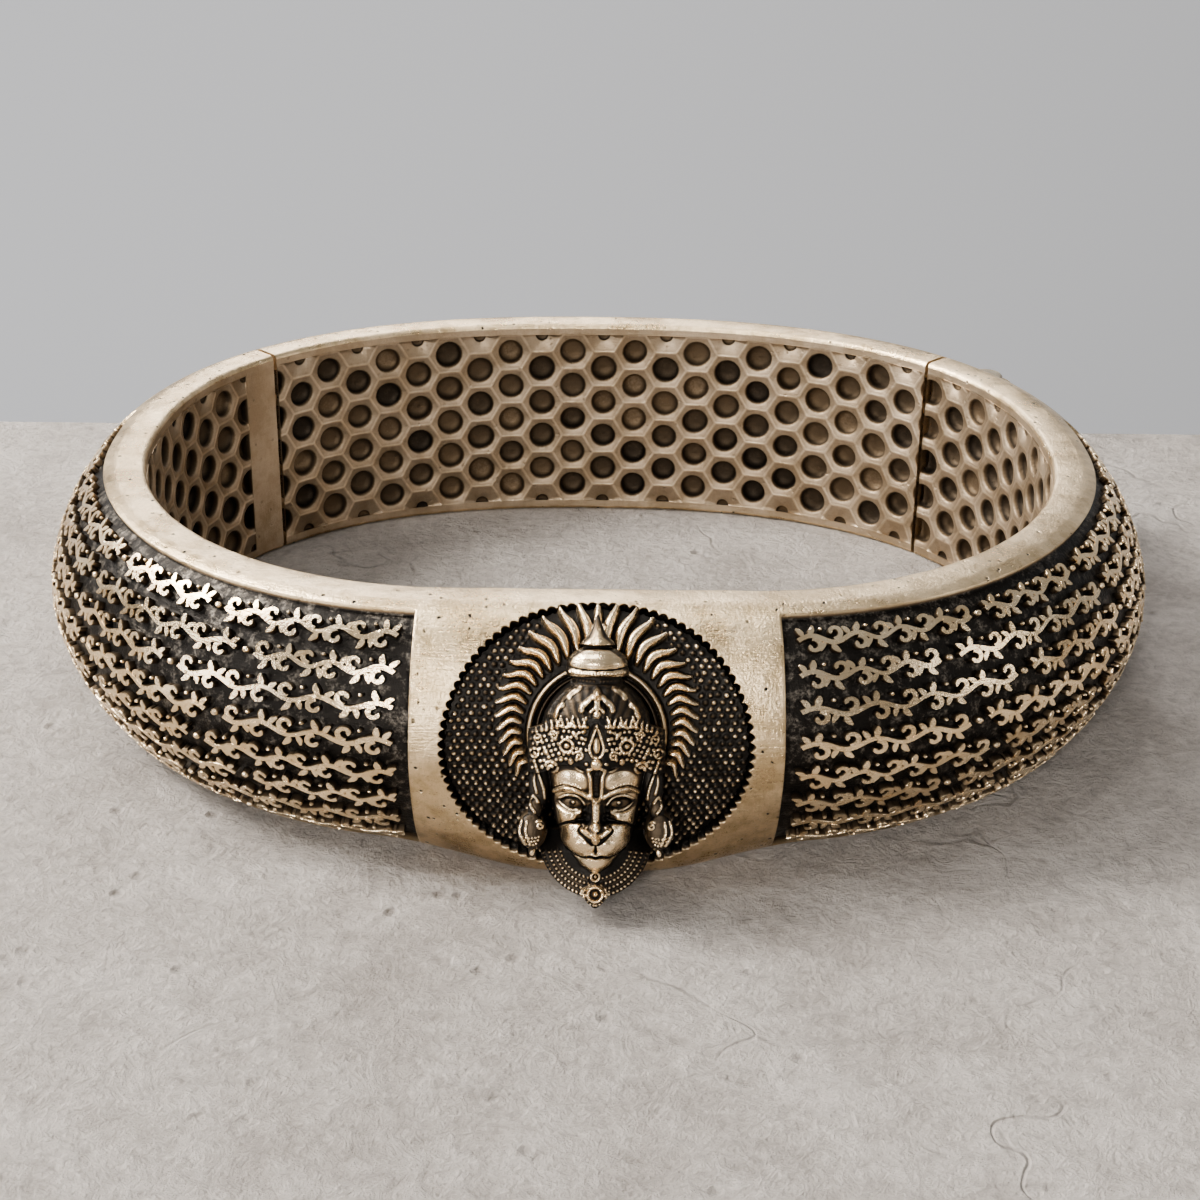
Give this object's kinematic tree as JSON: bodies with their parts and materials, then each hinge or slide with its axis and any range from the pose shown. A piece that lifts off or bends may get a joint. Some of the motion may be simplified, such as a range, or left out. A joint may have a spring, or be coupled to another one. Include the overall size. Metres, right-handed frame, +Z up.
{
  "type": "hinged oval kada bangle",
  "caption": "Wide oval brass kada that opens on a hinge, with a crowned animal-faced head on its front and sunk panels of raised scroll ornament.",
  "frame": {"origin": "under the middle of the outline, on the plane that the lower rim rests on", "axes": "+Z up through the wrist opening, the head faces -Y, the hinge is at +X +Y"},
  "size_m": [0.075, 0.0672, 0.0162],
  "materials": {
    "band_brass": "pale antique brass, worn satin on the plain metal and blackened in the sunk grounds",
    "relief_brass": "antique brass with bright worn high points and black patina in the recesses",
    "pin_brass": "dull aged brass"
  },
  "bodies": {
    "front": {"front_band": "band_brass", "guardian_head": "relief_brass", "hinge_pin": "pin_brass", "clasp_tongue": "pin_brass"},
    "back": {"back_band": "band_brass"}
  },
  "joints": [
    {"name": "back_hinge", "type": "hinge", "parent": "front", "child": "back", "pos_m": [0.03072, 0.0236, 0.0081], "axis": [0, 0, 1], "range_deg": [-60, 0]}
  ]
}
